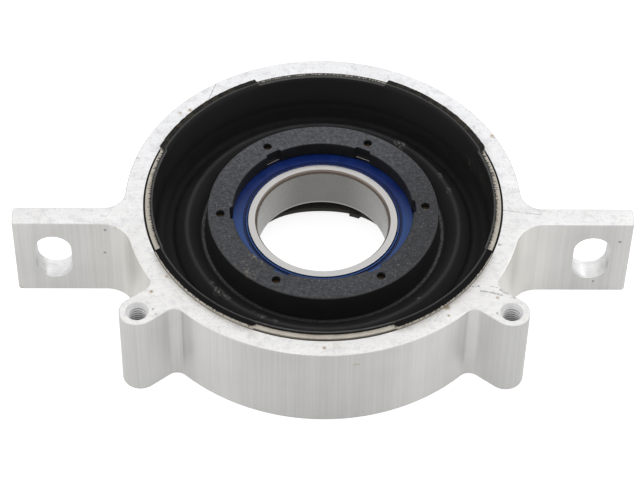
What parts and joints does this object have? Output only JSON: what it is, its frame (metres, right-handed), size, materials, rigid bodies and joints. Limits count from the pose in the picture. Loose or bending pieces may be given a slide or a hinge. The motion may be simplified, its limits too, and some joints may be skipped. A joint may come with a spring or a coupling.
{
  "type": "driveshaft centre bearing",
  "caption": "Driveshaft centre bearing: a sealed ball bearing held by a rubber bellows inside an extruded aluminium ring bracket with slotted ears and threaded bosses.",
  "frame": {"origin": "centre of the bearing, on the shaft's axis midway through the races", "axes": "+Z along the shaft out of the upper face, X through the two mounting ears, -Y towards the two threaded bosses"},
  "size_m": [0.187, 0.12, 0.0316],
  "materials": {
    "aluminium": "extruded walls with fine lines along the shaft, milled bright end faces",
    "sleeve_steel": "bare steel rim with a cream bonding coat and rubber residue",
    "black_rubber": "moulded black rubber, satin, dusty grey on the hub face",
    "carrier_steel": "pressed steel with a cream bonding coat",
    "race_steel": "ground bearing steel",
    "blue_rubber": "moulded blue seal rubber, satin",
    "cage_steel": "pressed strip steel",
    "ball_steel": "polished bearing balls"
  },
  "bodies": {
    "mount": {"housing": "aluminium", "outer_sleeve": "sleeve_steel", "rubber_isolator": "black_rubber"},
    "hub": {"carrier_ring": "carrier_steel", "outer_race": "race_steel", "seal_upper": "blue_rubber", "seal_lower": "blue_rubber"},
    "inner_race": {"inner_race": "race_steel"},
    "cage": {"cage_upper": "cage_steel", "cage_lower": "cage_steel", "cage_rivets": "cage_steel"},
    "ball_01": {"ball_01": "ball_steel"},
    "ball_02": {"ball_02": "ball_steel"},
    "ball_03": {"ball_03": "ball_steel"},
    "ball_04": {"ball_04": "ball_steel"},
    "ball_05": {"ball_05": "ball_steel"},
    "ball_06": {"ball_06": "ball_steel"},
    "ball_07": {"ball_07": "ball_steel"},
    "ball_08": {"ball_08": "ball_steel"},
    "ball_09": {"ball_09": "ball_steel"},
    "ball_10": {"ball_10": "ball_steel"},
    "ball_11": {"ball_11": "ball_steel"},
    "ball_12": {"ball_12": "ball_steel"}
  },
  "joints": [
    {"name": "axial_float", "type": "slide", "parent": "mount", "child": "hub", "axis": [0, 0, 1], "range_m": [-0.003, 0.003], "stiffness_N_per_m": 20000, "deforming": ["rubber_isolator"]},
    {"name": "inner_race_spin", "type": "hinge", "parent": "hub", "child": "inner_race", "pos_m": [0, 0, 0], "axis": [0, 0, 1], "continuous": true},
    {"name": "cage_spin", "type": "hinge", "parent": "hub", "child": "cage", "pos_m": [0, 0, 0], "axis": [0, 0, 1], "continuous": true},
    {"name": "ball_01_spin", "type": "hinge", "parent": "cage", "child": "ball_01", "pos_m": [0.027, 0, 0], "axis": [0, 0, 1], "continuous": true},
    {"name": "ball_02_spin", "type": "hinge", "parent": "cage", "child": "ball_02", "pos_m": [0.02338, 0.0135, 0], "axis": [0, 0, 1], "continuous": true},
    {"name": "ball_03_spin", "type": "hinge", "parent": "cage", "child": "ball_03", "pos_m": [0.0135, 0.02338, 0], "axis": [0, 0, 1], "continuous": true},
    {"name": "ball_04_spin", "type": "hinge", "parent": "cage", "child": "ball_04", "pos_m": [0, 0.027, 0], "axis": [0, 0, 1], "continuous": true},
    {"name": "ball_05_spin", "type": "hinge", "parent": "cage", "child": "ball_05", "pos_m": [-0.0135, 0.02338, 0], "axis": [0, 0, 1], "continuous": true},
    {"name": "ball_06_spin", "type": "hinge", "parent": "cage", "child": "ball_06", "pos_m": [-0.02338, 0.0135, 0], "axis": [0, 0, 1], "continuous": true},
    {"name": "ball_07_spin", "type": "hinge", "parent": "cage", "child": "ball_07", "pos_m": [-0.027, 0, 0], "axis": [0, 0, 1], "continuous": true},
    {"name": "ball_08_spin", "type": "hinge", "parent": "cage", "child": "ball_08", "pos_m": [-0.02338, -0.0135, 0], "axis": [0, 0, 1], "continuous": true},
    {"name": "ball_09_spin", "type": "hinge", "parent": "cage", "child": "ball_09", "pos_m": [-0.0135, -0.02338, 0], "axis": [0, 0, 1], "continuous": true},
    {"name": "ball_10_spin", "type": "hinge", "parent": "cage", "child": "ball_10", "pos_m": [0, -0.027, 0], "axis": [0, 0, 1], "continuous": true},
    {"name": "ball_11_spin", "type": "hinge", "parent": "cage", "child": "ball_11", "pos_m": [0.0135, -0.02338, 0], "axis": [0, 0, 1], "continuous": true},
    {"name": "ball_12_spin", "type": "hinge", "parent": "cage", "child": "ball_12", "pos_m": [0.02338, -0.0135, 0], "axis": [0, 0, 1], "continuous": true}
  ],
  "couplings": [
    {"joint": "cage_spin", "follows": "inner_race_spin", "ratio": 0.42648},
    {"joint": "ball_01_spin", "follows": "inner_race_spin", "ratio": -3.327},
    {"joint": "ball_02_spin", "follows": "inner_race_spin", "ratio": -3.327},
    {"joint": "ball_03_spin", "follows": "inner_race_spin", "ratio": -3.327},
    {"joint": "ball_04_spin", "follows": "inner_race_spin", "ratio": -3.327},
    {"joint": "ball_05_spin", "follows": "inner_race_spin", "ratio": -3.327},
    {"joint": "ball_06_spin", "follows": "inner_race_spin", "ratio": -3.327},
    {"joint": "ball_07_spin", "follows": "inner_race_spin", "ratio": -3.327},
    {"joint": "ball_08_spin", "follows": "inner_race_spin", "ratio": -3.327},
    {"joint": "ball_09_spin", "follows": "inner_race_spin", "ratio": -3.327},
    {"joint": "ball_10_spin", "follows": "inner_race_spin", "ratio": -3.327},
    {"joint": "ball_11_spin", "follows": "inner_race_spin", "ratio": -3.327},
    {"joint": "ball_12_spin", "follows": "inner_race_spin", "ratio": -3.327}
  ]
}
